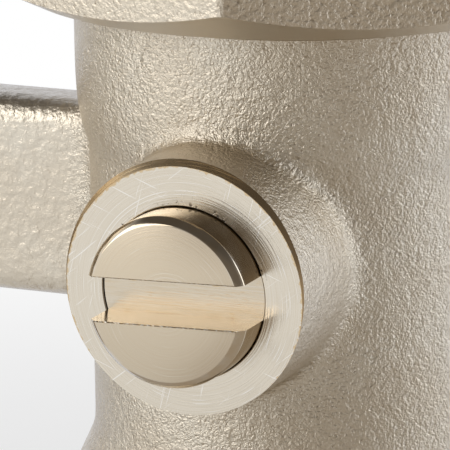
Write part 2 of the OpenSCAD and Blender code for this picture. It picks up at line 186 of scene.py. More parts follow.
class SpindleSizes(bpy.types.PropertyGroup):
    radius: length("Spindle radius", 4.3, "Radius of a spindle")
    chamfer: length("Face chamfer", 0.35, "Chamfer round a spindle's outer face")
    corner: length("Corner round", 0.04, "Round on the two edges of that chamfer")
    slot_w: length("Slot width", 2.2, "Width of the screwdriver slot")
    slot_d: length("Slot depth", 2.3, "Depth of the screwdriver slot")
    burr: length("Slot edge", 0.05, "Broken edge along the screwdriver slot")
    collar_r: length("Collar radius", half_width_mm("right_spindle"), "Radius of the collar")
    collar_t: length("Collar thickness", 1.3, "Thickness of the collar")
    groove_r: length("Groove radius", 3.16, "Radius at the floor of the seal grooves")
    groove_side: length("Groove room", 0.1, "Room beside a seal ring in its groove")
    washer_gap: length("Washer gap", 0.05, "Gap between the collar and its washer")
    tang_t: length("Tang thickness", 2.4, "Thickness of the tang that drives the ball")
    tang_w: length("Tang width", 8.0, "Width of the tang")
    right_turn: angle("Right spindle's turn", 1.8, "How far the right spindle's slot is turned from level")
    left_turn: angle("Left spindle's turn", 0.0, "How far the left spindle's slot is turned from level")


class Finishes(bpy.types.PropertyGroup):
    nickel: colour("Nickel", (0.66, 0.58, 0.465), "Warm nickel plate over brass")
    nickel_pale: colour("Pale nickel", (0.70, 0.63, 0.52), "Nickel plate where it is rubbed bright")
    # Painted shade: the dark tone painted into the pits of the grain, for the shade that falls in them.
    nickel_pit_shade: colour("Deep nickel", (0.30, 0.235, 0.165), "Nickel plate down in the pits")
    spindle: colour("Spindle nickel", (0.62, 0.515, 0.375), "Nickel plate on the turned spindles")
    brass: colour("Brass", (0.60, 0.43, 0.23), "Brass showing through at sharp edges")
    bore_fleck_tone: colour("Soot", (0.05, 0.035, 0.025), "Dirt in chips and tool marks")
    # A near-black tone, laid in ragged flecks round the mouth of the spindle bore.
    chrome: colour("Chrome", (0.78, 0.79, 0.80), "Chrome plate on the balls")
    ptfe: colour("Seat", (0.86, 0.85, 0.82), "Seats and washers")
    rubber: colour("Rubber", (0.018, 0.018, 0.020), "Seal rings and gaskets")
    grain: length("Blasted grain", 0.15, "Size of the grain on the forged body")
    grain_depth: length("Blasted depth", 0.11, "Depth of that grain")
    nut_grain: length("Nut grain", 0.26, "Size of the grain on the union nuts")
    nut_depth: length("Nut depth", 0.10, "Depth of that grain")


class StudioSizes(bpy.types.PropertyGroup):
    azimuth: angle("Camera azimuth", 24.74, "Camera's angle to the right of straight ahead")
    elevation: angle("Camera elevation", 14.24, "Camera's angle above the level")
    roll: angle("Camera roll", -0.91, "Camera's roll about its own line of sight")
    distance: length("Camera distance", 234.6, "Distance from the camera to what it looks at")
    target_x: length("Target X", -4.89, "X of the point that the camera looks at")
    target_z: length("Target Z", 25.27, "Z of the point that the camera looks at")
    lens: FloatProperty(name="Lens", description="Focal length in millimetres", default=360, min=1)
    floor: length("Floor", 3000, "Half the width of the white floor")
    lamp_distance: length("Lamp distance", 500, "Distance from the lamps to the valve")
    pale_left: tone("Left surround", (1.03, 1.06, 1.10), "Tone of the white walls on the left")
    pale_back: tone("Back surround", (0.96, 1.02, 1.16), "Tone of the white wall behind")
    dusk_low: tone("Low front", (0.47, 0.42, 0.36), "Tone of the dim floor in front on the right")
    dusk_high: tone("High front", (0.17, 0.15, 0.13), "Tone of the dim room above it")
    overhead: tone("Overhead", (0.10, 0.09, 0.08), "Tone of the dark ceiling")


GROUPS = {
    "leg": LegSizes, "boss": BossSizes, "web": WebSizes, "forging": ForgingFinish, "thread": ThreadSizes,
    "nut": NutSizes, "spindle": SpindleSizes, "finish": Finishes, "studio": StudioSizes,
}


class ValveSettings(bpy.types.PropertyGroup):
    __annotations__ = {name: PointerProperty(type=group) for name, group in GROUPS.items()}


def settings():
    """The valve's sizes and colours."""
    return bpy.context.scene.valve


# Mesh tools


def from_bmesh(name, bm, material=None):
    """Turns a bmesh into a linked object with one material."""
    mesh = bpy.data.meshes.new(name)
    bm.to_mesh(mesh)
    bm.free()
    piece = bpy.data.objects.new(name, mesh)
    bpy.context.scene.collection.objects.link(piece)
    if material:
        mesh.materials.append(material)
    return piece


def gathered(parts):
    """One bmesh that holds several, which may overlap."""
    whole = bmesh.new()
    for bm in parts:
        mesh = bpy.data.meshes.new("part")
        bm.to_mesh(mesh)
        bm.free()
        whole.from_mesh(mesh)
        bpy.data.meshes.remove(mesh)
    return whole


def turned(outline, steps=128):
    """A bmesh spun about the Z axis from an outline of (radius, height) points.
    An outline that starts and ends on the axis makes a solid body, and any other makes a ring."""
    bm = bmesh.new()
    points = [bm.verts.new((radius, 0, height)) for radius, height in outline]
    pairs = list(zip(points, points[1:]))
    if outline[0][0] > 0:
        pairs.append((points[-1], points[0]))
    edges = [bm.edges.new(pair) for pair in pairs]
    bmesh.ops.spin(
        bm, geom=points + edges, cent=(0, 0, 0), axis=(0, 0, 1), dvec=(0, 0, 0),
        angle=TURN, steps=steps, use_merge=True, use_normal_flip=False, use_duplicate=False,
    )
    bmesh.ops.remove_doubles(bm, verts=bm.verts, dist=1e-7)
    bmesh.ops.recalc_face_normals(bm, faces=bm.faces)
    return bm


def helix(section, pitch, turns, steps, fade=0.0):
    """A bmesh swept up a helix about the Z axis from a section of (radius, height) points.
    fade moves the last quarter turn outwards by that much, as a tool is drawn out of a thread."""
    bm = bmesh.new()
    points = [bm.verts.new((radius, 0, height)) for radius, height in section]
    face = bm.faces.new(points)
    count = round(turns * steps)
    bmesh.ops.spin(
        bm, geom=[face], cent=(0, 0, 0), axis=(0, 0, 1), dvec=(0, 0, pitch / steps),
        angle=TURN * turns, steps=count, use_merge=False, use_normal_flip=False, use_duplicate=False,
    )
    bm.verts.ensure_lookup_table()
    run = steps // 4
    for index, vert in enumerate(bm.verts):
        step = index // len(points) - (count - run)
        if fade and step > 0:
            radius = math.hypot(vert.co.x, vert.co.y)
            grow = 1 + fade * (step / run) ** 2 / radius
            vert.co.x *= grow
            vert.co.y *= grow
    bmesh.ops.recalc_face_normals(bm, faces=bm.faces)
    return bm


def block(size, centre, taper=1.0):
    """A bmesh block of that size about a centre. taper narrows its foot across Y."""
    bm = bmesh.new()
    bmesh.ops.create_cube(bm, size=1)
    bmesh.ops.scale(bm, vec=(1, taper, 1), verts=[v for v in bm.verts if v.co.z < 0])
    bmesh.ops.scale(bm, vec=size, verts=bm.verts)
    return placed(bm, Matrix.Translation(centre))


def placed(bm, matrix):
    """The same bmesh, moved and turned."""
    bmesh.ops.transform(bm, matrix=matrix, verts=bm.verts)
    return bm


def on_leg(side):
    """Puts what is drawn upright about the Z axis on a leg's axis."""
    return Matrix.Translation((leg_x(side), 0, 0))


def on_spindle(side, turn=0.0):
    """Puts what is drawn upright on a leg's spindle axis, with its +Z towards the front."""
    place = Matrix.Translation((leg_x(side), 0, spindle_height()))
    return place @ Matrix.Rotation(math.radians(90), 4, "X") @ Matrix.Rotation(turn, 4, "Z")


def shape_now(piece):
    """Applies a piece's modifiers to its mesh."""
    graph = bpy.context.evaluated_depsgraph_get()
    shaped = bpy.data.meshes.new_from_object(piece.evaluated_get(graph))
    piece.modifiers.clear()
    old = piece.data
    name = old.name
    piece.data = shaped
    bpy.data.meshes.remove(old)
    shaped.name = name


def combine(piece, tool, operation="DIFFERENCE"):
    """Cuts a tool out of a piece, or joins or crosses the two, and clears the tool away."""
    step = piece.modifiers.new("machining", "BOOLEAN")
    step.operation = operation
    step.solver = "MANIFOLD"
    step.material_mode = "TRANSFER"
    step.object = tool
    shape_now(piece)
    mesh = tool.data
    bpy.data.objects.remove(tool)
    bpy.data.meshes.remove(mesh)
    if not piece.data.polygons:
        raise RuntimeError(f"{piece.name} was lost in a {operation.lower()}")


def smooth_skin(piece, sharp_degrees=35):
    """Shades a piece smooth, up to its sharp edges."""
    piece.data.shade_smooth()
    piece.data.set_sharp_from_angle(angle=math.radians(sharp_degrees))


def fit(piece, body, slot, *nodes):
    """Sets a finished piece on its body, in place of its nodes."""
    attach(piece, body)
    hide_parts(*nodes)


def direction(azimuth, elevation=0.0):
    """The way to something at that azimuth, in degrees to the right of the front, and elevation."""
    a, e = math.radians(azimuth), math.radians(elevation)
    return Vector((math.sin(a) * math.cos(e), -math.cos(a) * math.cos(e), math.sin(e)))


# Finishes


class Nodes:
    """Adds shader nodes to a tree. A socket given as an input is linked, and any other value is set."""

    def __init__(self, tree):
        self.tree = tree
        tree.nodes.clear()

    def put(self, socket, value):
        if isinstance(value, bpy.types.NodeSocket):
            self.tree.links.new(value, socket)
        elif getattr(socket, "type", "") == "RGBA" and len(value) == 3:
            socket.default_value = (*value, 1)
        else:
            socket.default_value = value

    def add(self, kind, inputs=None, **values):
        node = self.tree.nodes.new("ShaderNode" + kind)
        for key, value in values.items():
            setattr(node, key, value)
        for key, value in (inputs or {}).items():
            self.put(node.inputs[key], value)
        return node

    def math(self, operation, a, b=0.0, c=0.0):
        return self.add("Math", {0: a, 1: b, 2: c}, operation=operation).outputs[0]

    def most(self, *values):
        """The largest of several values."""
        best = values[0]
        for value in values[1:]:
            best = self.math("MAXIMUM", best, value)
        return best

    def vector(self, operation, a, b=(0, 0, 0)):
        node = self.add("VectorMath", {0: a, 1: b}, operation=operation)
        return node.outputs["Value" if operation in ("DOT_PRODUCT", "LENGTH") else "Vector"]

    def split(self, vector):
        return self.add("SeparateXYZ", {"Vector": vector}).outputs

    def spread(self, value, low, high, to_low=0.0, to_high=1.0):
        """A value carried softly from one range to another, and held inside it."""
        inputs = {"Value": value, "From Min": low, "From Max": high, "To Min": to_low, "To Max": to_high}
        return self.add("MapRange", inputs, interpolation_type="SMOOTHSTEP").outputs["Result"]

    def between(self, share, a, b):
        """Value a where share is 0 and value b where it is 1."""
        return self.add("Mix", {0: share, 2: a, 3: b}, data_type="FLOAT").outputs[0]

    def blend(self, share, a, b):
        """Colour a where share is 0 and colour b where it is 1."""
        return self.add("Mix", {0: share, 6: a, 7: b}, data_type="RGBA").outputs[2]


class Surface(Nodes):
    """Builds one material's nodes, on the piece's own coordinates."""

    def __init__(self, name):
        self.material = bpy.data.materials.new(name)
        self.material.use_nodes = True
        super().__init__(self.material.node_tree)
        coordinates = self.add("TexCoord").outputs
        self.place, self.facing = coordinates["Object"], coordinates["Normal"]

    def noise(self, size, detail=2.0, roughness=0.5, place=None, turn=None, stretch=None):
        """Noise with cells of about that size in metres. turn is about Y, and stretch comes after it."""
        source = place or self.place
        if turn is not None:
            source = self.add("VectorRotate", {"Vector": source, "Angle": turn}, rotation_type="Y_AXIS").outputs[0]
        if stretch:
            source = self.vector("MULTIPLY", source, stretch)
        inputs = {"Vector": source, "Scale": 1 / size, "Detail": detail, "Roughness": roughness}
        return self.add("TexNoise", inputs).outputs["Fac"]

    def lines(self, along, size, detail=3.0):
        """Noise that changes along one value only, such as a radius."""
        inputs = {"W": along, "Scale": 1 / size, "Detail": detail, "Roughness": 0.7}
        return self.add("TexNoise", inputs, noise_dimensions="1D").outputs["Fac"]

    def scratches(self, size, amount, *turns):
        """Fine straight scratches, at angles in degrees about the Y axis."""
        sets = [
            self.spread(self.noise(size, 1.0, turn=math.radians(turn), stretch=(0.03, 1, 1)), 1 - amount, 1.06 - amount)
            for turn in turns
        ]
        return self.most(*sets)

    def near_leg(self):
        """X, Y and Z about the nearer leg's axis, with Z still from the floor."""
        x, y, z = self.split(self.place)
        middle = (leg_x("right") - leg_x("left")) / 2
        near = self.math("WRAP", x, leg_x("right") + middle, leg_x("right") - middle)
        return self.math("SUBTRACT", near, leg_x("right")), y, z

    def leg_radius(self):
        """Distance from the nearer leg's axis."""
        x, y, _ = self.near_leg()
        return self.vector("LENGTH", self.add("CombineXYZ", {0: x, 1: y}).outputs[0])

    def spindle_radius(self, shift_x=0.0, shift_z=0.0):
        """Distance from the nearer spindle's axis, or from a line beside it."""
        x, _, z = self.near_leg()
        level = self.math("SUBTRACT", x, shift_x)
        upright = self.math("SUBTRACT", z, spindle_height() + shift_z)
        return self.vector("LENGTH", self.add("CombineXYZ", {0: level, 2: upright}).outputs[0])

    def shader(self, kind, inputs, colour, height=None, depth=0.0):
        """Ends the tree in a shader, with its relief's depth in metres."""
        node = self.add(kind, inputs)
        self.put(node.inputs[0], colour)
        if height is not None:
            bump = self.add("Bump", {"Strength": 1.0, "Distance": depth, "Height": height})
            self.put(node.inputs["Normal"], bump.outputs[0])
        self.add("OutputMaterial", {"Surface": node.outputs[0]})
        return self.material

    def metal(self, colour, roughness, height=None, depth=0.0):
        """Ends the tree in bare or plated metal."""
        return self.shader("BsdfPrincipled", {"Metallic": 1.0, "Roughness": roughness}, colour, height, depth)


def material(name, build):
    """The material of that name, built the first time that it is asked for."""
    return bpy.data.materials.get(name) or build(Surface(name))


def blasted_nickel(surface):
    """The forged skin: fine blasted grain under warm nickel, with painted shade in its pits, finer and flatter on the
    web.
    """
    finish = settings().finish
    near_x = surface.math("ABSOLUTE", surface.near_leg()[0])
    leg_r = settings().leg.leg_r
    on_web = surface.spread(near_x, leg_r, leg_r + 2 * MM)
    grain = surface.noise(finish.grain, detail=2.0, roughness=0.6)
    lumps = surface.noise(finish.grain * 3.5, detail=1.0)
    grain_share = surface.between(on_web, 1.0, 0.3)
    height = surface.math("MULTIPLY_ADD", grain, grain_share, surface.math("MULTIPLY", lumps, 0.8))
    # Painted shade: the low places of the grain are painted darker, much less on the web.
    pits = surface.spread(grain, 0.40, 0.22)
    patches = surface.noise(5 * MM, detail=3)
    warm = surface.blend(surface.spread(patches, 0.35, 0.65), finish.nickel, finish.nickel_pale)
    pit_shade_share = surface.math("MULTIPLY", pits, surface.between(on_web, 0.8, 0.1))
    shade = surface.blend(pit_shade_share, warm, finish.nickel_pit_shade)
    rough = surface.spread(grain, 0.3, 0.7, 0.30, 0.42)
    return surface.metal(shade, rough, height, finish.grain_depth)


def pressed_nickel(surface):
    """The nuts' flats: a coarser grain with painted shade in its pits and smooth worn places."""
    finish = settings().finish
    grain = surface.noise(finish.nut_grain, detail=3.0, roughness=0.55)
    worn = surface.spread(surface.noise(3.2 * MM, detail=2), 0.58, 0.68)
    height = surface.math("MULTIPLY", grain, surface.between(worn, 1.0, 0.25))
    # Painted shade: the low places of the grain are painted darker, only a little on the worn places.
    pits = surface.math("MULTIPLY", surface.spread(grain, 0.42, 0.25), surface.between(worn, 0.7, 0.1))
    shade = surface.blend(pits, finish.nickel, finish.nickel_pit_shade)
    return surface.metal(shade, surface.spread(grain, 0.3, 0.7, 0.32, 0.44), height, finish.nut_depth)


def faced_nickel(surface):
    """The machined boss face: arcs from the facing tool, scratches, a brassy rim and dark flecks round the bore."""
    finish, boss = settings().finish, settings().boss
    radius = surface.spindle_radius()
    beside = surface.spindle_radius(0.35 * MM, -0.2 * MM)
    rings = surface.lines(radius, 0.09 * MM)
    arcs = surface.lines(beside, 0.10 * MM, detail=1.0)
    some = surface.noise(1.6 * MM, detail=1.0)
    bright = surface.math("MULTIPLY", surface.spread(arcs, 0.60, 0.70), surface.spread(some, 0.45, 0.6))
    marks = surface.scratches(0.09 * MM, 0.30, 38, 74, -21)
    shade = surface.blend(surface.spread(rings, 0.3, 0.7), finish.nickel, finish.nickel_pale)
    shade = surface.blend(surface.most(bright, marks), shade, (0.80, 0.75, 0.67))
    ragged = surface.math("MULTIPLY_ADD", surface.noise(0.3 * MM, detail=3), 0.5 * MM, radius)
    rim = surface.spread(ragged, boss.boss_r + 0.08 * MM, boss.boss_r + 0.16 * MM)
    shade = surface.blend(surface.math("MULTIPLY", rim, 0.8), shade, finish.brass)
    # Dark flecks in a ragged band round the bore's mouth, also sunk a little in the relief.
    near_bore = surface.spread(radius, boss.bore_r + 0.35 * MM, boss.bore_r + 0.05 * MM)
    flecks = surface.spread(surface.noise(0.16 * MM, detail=2), 0.55, 0.62)
    fleck_patches = surface.spread(surface.noise(2.4 * MM, detail=1), 0.50, 0.60)
    bore_flecks = surface.math("MULTIPLY", surface.math("MULTIPLY", near_bore, flecks), fleck_patches)
    shade = surface.blend(bore_flecks, shade, finish.bore_fleck_tone)
    relief = surface.math("SUBTRACT", surface.math("MULTIPLY_ADD", rings, 0.4, surface.math("MULTIPLY", arcs, 0.6)), bore_flecks)
    rough = surface.spread(some, 0.3, 0.7, 0.20, 0.28)
    return surface.metal(shade, rough, relief, 0.010 * MM)


def turned_nickel(surface):
    """Turned ends, necks, threads and chamfers, with rings about the leg's axis."""
    finish = settings().finish
    along = surface.math("ADD", surface.leg_radius(), surface.near_leg()[2])
    rings = surface.lines(along, 0.12 * MM, detail=2.0)
    cloud = surface.noise(1.5 * MM, detail=3)
    shade = surface.blend(surface.spread(cloud, 0.35, 0.65), finish.nickel, finish.nickel_pale)
    return surface.metal(shade, surface.spread(cloud, 0.3, 0.7, 0.28, 0.38), rings, 0.005 * MM)


def spindle_nickel(surface):
    """The spindle's turned and polished sides."""
    finish = settings().finish
    rings = surface.lines(surface.near_leg()[1], 0.15 * MM)
    cloud = surface.noise(1.0 * MM, detail=3)
    shade = surface.blend(surface.spread(cloud, 0.35, 0.65), finish.spindle, finish.nickel)
    return surface.metal(shade, surface.spread(cloud, 0.3, 0.7, 0.07, 0.12), rings, 0.002 * MM)


def spindle_end_nickel(surface):
    """The spindle's faced end, with faint rings and a few bright arcs."""
    finish = settings().finish
    rings = surface.lines(surface.spindle_radius(), 0.10 * MM)
    arcs = surface.lines(surface.spindle_radius(0.25 * MM, -0.3 * MM), 0.12 * MM, detail=1.0)
    some = surface.noise(2.0 * MM, detail=1.0)
    bright = surface.math("MULTIPLY", surface.spread(arcs, 0.66, 0.74), surface.spread(some, 0.5, 0.6))
    shade = surface.blend(surface.spread(rings, 0.3, 0.7, 0.0, 0.25), finish.spindle, finish.nickel)
    shade = surface.blend(surface.math("MULTIPLY", bright, 0.5), shade, finish.nickel_pale)
    return surface.metal(shade, 0.27, rings, 0.003 * MM)


def milled_nickel(surface):
    """The screwdriver slot: lines along the cutter's travel on its floor, and glossy flanks."""
    finish = settings().finish
    lines = surface.noise(0.10 * MM, detail=3, roughness=0.65, stretch=(0.04, 1, 1))
    flank = surface.spread(surface.math("ABSOLUTE", surface.split(surface.facing)["Y"]), 0.8, 0.4)
    streaks = surface.noise(0.07 * MM, detail=1, stretch=(0.10, 1, 1))
    shade = surface.blend(surface.spread(lines, 0.3, 0.7), finish.spindle, finish.nickel)
    shade = surface.blend(surface.math("MULTIPLY", surface.spread(streaks, 0.68, 0.76), 0.6), shade, finish.brass)
    rough = surface.between(flank, 0.26, 0.12)
    return surface.metal(shade, rough, lines, 0.012 * MM)


def burr_nickel(surface):
    """The ragged bright edge that the cutter leaves along the slot."""
    finish = settings().finish
    lumps = surface.noise(0.14 * MM, detail=2)
    shade = surface.blend(surface.spread(lumps, 0.42, 0.58), finish.brass, (0.86, 0.80, 0.70))
    return surface.metal(shade, 0.35, lumps, 0.06 * MM)


def chrome_plate(surface):
    """The balls."""
    cloud = surface.noise(1 * MM, detail=2)
    return surface.metal(settings().finish.chrome, surface.spread(cloud, 0.3, 0.7, 0.06, 0.11))


def plain(name_of_colour, roughness, grain):
    """A finish that isn't metal, with a fine grain of that size."""

    def build(surface):
        tone_of = getattr(settings().finish, name_of_colour)
        relief = surface.noise(grain, detail=2)
        return surface.shader("BsdfPrincipled", {"Roughness": roughness}, tone_of, relief, 0.008 * MM)

    return build


# Body


def leg_outline(leg):
    """Outline of a leg as it leaves the die, with stock left at its top."""
    step = leg.barrel_r - leg.leg_r
    swell = [
        (leg.leg_r + step * math.sin(t), leg.waist_z + leg.waist_h * (1 - math.cos(t)))
        for t in (math.radians(degrees) for degrees in range(0, 91, 10))
    ]
    foot = leg.thread_l - 0.6 * MM
    top = leg.shoulder_z + 2 * MM
    start = [(0, foot), (leg.pipe_r, foot), (leg.pipe_r, leg.thread_l), (leg.leg_r, leg.thread_l + leg.flare_h)]
    return start + swell + [(leg.barrel_r, top), (0, top)]


def web_block(web, rise):
    """The web from leg to leg, with round long edges."""
    span = leg_x("right") - leg_x("left")
    middle = (leg_x("right") + leg_x("left")) / 2
    bm = block((span, web.thickness, web.height), (middle, 0, spindle_height() + rise))
    long_edges = [e for e in bm.edges if abs(e.verts[0].co.x - e.verts[1].co.x) > span / 2]
    bmesh.ops.bevel(bm, geom=long_edges, offset=web.edge_r, segments=6, affect="EDGES", profile=0.5, material=-1)
    return bm


def forged_blank(valve):
    """Legs, bosses and web grown into one soft-cornered forging."""
    leg, boss = valve.leg, valve.boss
    end = 2 * MM - boss_front()
    parts = [web_block(valve.web, boss.rise)]
    for side in SIDES:
        knob = turned([(0, 0), (boss.boss_r, 0), (boss.boss_r, end), (0, end)])
        parts.append(placed(turned(leg_outline(leg)), on_leg(side)))
        parts.append(placed(knob, Matrix.Translation((0, 0, boss.rise)) @ on_spindle(side)))
    piece = from_bmesh("forged_body", gathered(parts), material("blasted_nickel", blasted_nickel))
    skin = piece.modifiers.new("skin", "REMESH")
    skin.mode = "VOXEL"
    skin.voxel_size = valve.forging.voxel
    soften = piece.modifiers.new("soften", "SMOOTH")
    soften.factor = 0.5
    soften.iterations = valve.forging.passes
    shape_now(piece)
    return piece


def turned_foot(leg):
    """The turned pipe end, before its thread is cut."""
    top = leg.thread_l - 0.2 * MM
    return turned([
        (0, 0), (leg.pipe_r - leg.end_chamfer, 0), (leg.pipe_r, leg.end_chamfer),
        (leg.pipe_r, top - leg.edge), (leg.pipe_r - leg.edge, top), (0, top),
    ])


def shoulder_cutter(leg, top):
    """What the lathe takes off outside the neck."""
    over = 3 * MM
    return turned([
        (leg.neck_r, leg.shoulder_z), (leg.barrel_r - leg.edge, leg.shoulder_z),
        (leg.barrel_r + over, leg.shoulder_z - leg.edge - over), (leg.barrel_r + over, top + over),
        (leg.neck_r - over, top + over), (leg.neck_r - over, top),
        (leg.neck_r - leg.edge, top), (leg.neck_r, top - leg.edge),
    ])


def leg_bores(leg, top):
    """Everything that is bored out of a leg from its two ends."""
    over = 1 * MM
    slope = (leg.cone_mouth_r - leg.cone_inner_r) / leg.cone_l
    seat_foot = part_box("right_lower_seat")[0].z
    spigot_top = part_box("right_union_sleeve")[0].z + leg.spigot_l
    return turned([
        (0, -over), (leg.cone_mouth_r + slope * over, -over), (leg.cone_inner_r, leg.cone_l),
        (leg.socket_r, leg.cone_l), (leg.socket_r, leg.socket_l), (leg.passage_r, leg.socket_l),
        (leg.passage_r, seat_foot), (leg.chamber_r, seat_foot), (leg.chamber_r, spigot_top),
        (leg.sleeve_r, spigot_top), (leg.sleeve_r, top + over), (0, top + over),
    ])


def boss_bore(boss):
    """The stepped spindle bore, from the chamber to the boss face."""
    face = -boss_front()
    gland = -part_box("right_thrust_washer")[0].y
    over = 1 * MM
    return turned([
        (0, 0), (boss.collar_r, 0), (boss.collar_r, gland), (boss.bore_r, gland),
        (boss.bore_r, face - boss.mouth), (boss.bore_r + boss.mouth, face),
        (boss.bore_r + boss.mouth, face + over), (0, face + over),
    ])


def facing_cutter(boss):
    """What the facing tool takes off the boss, with the rim's broken edge."""
    face = -boss_front()
    over = 0.8 * MM
    wide = boss.boss_r + over
    top = face + 4 * MM
    return turned([
        (0, face), (boss.boss_r - boss.rim, face), (wide, face - boss.rim - over), (wide, top), (0, top),
    ])


def outside_groove(thread, major_r):
    """Section of the groove that a thread die leaves."""
    half_root = thread.root / 2
    half_mouth = half_root + (thread.depth + thread.clear) * math.tan(thread.flank)
    mouth_r = major_r + thread.clear
    root_r = major_r - thread.depth
    return [(mouth_r, -half_mouth), (root_r, -half_root), (root_r, half_root), (mouth_r, half_mouth)]


class VALVE_OT_forged_body(bpy.types.Operator):
    """Forges the body, machines it and cuts its pipe threads"""
    bl_idname = "valve.forged_body"
    bl_label = "Forged Body"

    def execute(self, context):
        valve = settings()
        leg, boss, thread = valve.leg, valve.boss, valve.thread
        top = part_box("body")[1].z
        piece = forged_blank(valve)
        turned_face = material("turned_nickel", turned_nickel)
        boss_face = material("faced_nickel", faced_nickel)
        for side in SIDES:
            combine(piece, from_bmesh("foot", placed(turned_foot(leg), on_leg(side)), turned_face), "UNION")
        lead_in = 1.2 * MM
        turns = (leg.thread_l + lead_in - 0.8 * MM) / thread.pitch
        for side in SIDES:
            groove = helix(outside_groove(thread, leg.pipe_r), thread.pitch, turns, thread.steps,
                           fade=thread.depth + thread.clear)
            start = on_leg(side) @ Matrix.Translation((0, 0, -lead_in))
            combine(piece, from_bmesh("groove", placed(groove, start), turned_face))
            combine(piece, from_bmesh("lathe", placed(shoulder_cutter(leg, top), on_leg(side)), turned_face))
            combine(piece, from_bmesh("bore", placed(leg_bores(leg, top), on_leg(side)), turned_face))
            combine(piece, from_bmesh("facing", placed(facing_cutter(boss), on_spindle(side)), boss_face))
            combine(piece, from_bmesh("gland", placed(boss_bore(boss), on_spindle(side)), turned_face))
        smooth_skin(piece)
        fit(piece, "valve", "nickel_forged", "body")
        return {"FINISHED"}


# Union nuts


def corner_angle(points):
    """Angle about the Z axis of a hexagon's corners, from 0 to a sixth of a turn."""
    points = [p.xy for p in points]
    reach = max(p.length for p in points)
    corners = [math.atan2(p.y, p.x) for p in points if p.length > reach - 0.001 * MM]
    mean = sum((complex(math.cos(6 * a), math.sin(6 * a)) for a in corners), 0j)
    return math.atan2(mean.imag, mean.real) / 6


def hexagon(nut, low, high, turn):
    """The hexagon of a nut, with soft upright corners."""
    bm = bmesh.new()
    reach = nut.flats / 2 / math.cos(math.radians(30))
    bmesh.ops.create_cone(bm, cap_ends=True, segments=6, radius1=reach, radius2=reach, depth=high - low)
    bmesh.ops.rotate(bm, matrix=Matrix.Rotation(-corner_angle(v.co for v in bm.verts), 3, "Z"), verts=bm.verts)
    upright = [e for e in bm.edges if abs(e.verts[0].co.z - e.verts[1].co.z) > (high - low) / 2]
    bmesh.ops.bevel(bm, geom=upright, offset=nut.corner_soft, segments=5, affect="EDGES", profile=0.5, material=-1)
    return placed(bm, Matrix.Translation((0, 0, (low + high) / 2)) @ Matrix.Rotation(turn, 4, "Z"))


def nut_turn(side):
    """How far a nut's corners stand turned, read from its node."""
    axis = Vector((leg_x(side), 0, 0))
    return corner_angle(v.co - axis for v in frame["nodes"][side + "_union_nut"].data.vertices)


def nut_envelope(nut, low, high):
    """The turned chamfers that the hexagon is cut to."""
    reach = nut.flats / 2 / math.cos(math.radians(30)) + 0.5 * MM
    rise = (reach - nut.rim_r) * math.tan(nut.slope)
    return turned([
        (0, low), (nut.rim_r, low), (reach, low + rise), (reach, high - rise), (nut.rim_r, high), (0, high),
    ])


def nut_bores(nut, low, high):
    """The bores of a nut, down to its thread's minor diameter."""
    over = 1 * MM
    mouth = nut.relief_r - nut.minor_r
    return turned([
        (0, low - over), (nut.lip_r, low - over), (nut.lip_r, low + nut.lip_t), (nut.pocket_r, low + nut.lip_t),
        (nut.pocket_r, low + nut.pocket_h), (nut.relief_r, low + nut.pocket_h), (nut.relief_r, low + nut.relief_h),
        (nut.minor_r, low + nut.relief_h), (nut.minor_r, high - mouth), (nut.relief_r, high),
        (nut.relief_r, high + over), (0, high + over),
    ])


def inside_groove(thread, minor_r):
    """Section of the groove that a tap leaves."""
    half_root = thread.root / 2
    half_mouth = half_root + (thread.depth + thread.clear) * math.tan(thread.flank)
    mouth_r = minor_r - thread.clear
    root_r = minor_r + thread.depth
    return [(mouth_r, -half_mouth), (mouth_r, half_mouth), (root_r, half_root), (root_r, -half_root)]


class VALVE_OT_union_nuts(bpy.types.Operator):
    """Makes the two union nuts, with their threads"""
    bl_idname = "valve.union_nuts"
    bl_label = "Union Nuts"

    def execute(self, context):
        valve = settings()
        nut, thread = valve.nut, valve.thread
        pressed = material("pressed_nickel", pressed_nickel)
        cut = material("turned_nickel", turned_nickel)
        for side in SIDES:
            node = side + "_union_nut"
            low, high = (corner.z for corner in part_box(node))
            piece = from_bmesh(node + "_finished", placed(hexagon(nut, low, high, nut_turn(side)), on_leg(side)), pressed)
            combine(piece, from_bmesh("envelope", placed(nut_envelope(nut, low, high), on_leg(side)), cut), "INTERSECT")
            combine(piece, from_bmesh("bores", placed(nut_bores(nut, low, high), on_leg(side)), cut))
            foot = low + nut.relief_h - 0.5 * MM
            turns = (high - foot + thread.pitch) / thread.pitch
            groove = helix(inside_groove(thread, nut.minor_r), thread.pitch, turns, thread.steps)
            start = on_leg(side) @ Matrix.Translation((0, 0, foot))
            combine(piece, from_bmesh("tap", placed(groove, start), cut))
            smooth_skin(piece, 20)
            fit(piece, side + "_nut_set", "nickel_nut", node)
        return {"FINISHED"}


# Spindles


def spindle_outline(spindle, side, reach):
    """Outline of a spindle from its collar to its face, with the seal grooves and the face's chamfer."""
    collar_end = -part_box(side + "_thrust_washer")[1].y - spindle.washer_gap
    r, soft = spindle.radius, spindle.corner
    edge = r - spindle.chamfer
    points = [
        (0, collar_end - spindle.collar_t), (spindle.collar_r, collar_end - spindle.collar_t),
        (spindle.collar_r, collar_end), (r, collar_end),
    ]
    for ring in ("_inner_seal_ring", "_outer_seal_ring"):
        low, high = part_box(side + ring)
        start, end = -high.y - spindle.groove_side, -low.y + spindle.groove_side
        points += [(r, start), (spindle.groove_r, start), (spindle.groove_r, end), (r, end)]
    return points + [
        (r, reach - spindle.chamfer - soft), (r - soft / 2, reach - spindle.chamfer + soft / 2),
        (edge + soft / 2, reach - soft / 2), (edge - soft, reach), (0, reach),
    ]


def slot_cutters(spindle, reach):
    """The cutter that mills the slot, and the wedge that breaks the slot's edges."""
    long = 4 * spindle.radius
    mouth = spindle.slot_w + 4 * spindle.burr
    mill = block((long, spindle.slot_w, 2 * spindle.slot_d), (0, 0, reach))
    wedge = block((long, mouth, 2 * spindle.burr), (0, 0, reach), taper=spindle.slot_w / mouth)
    return mill, wedge


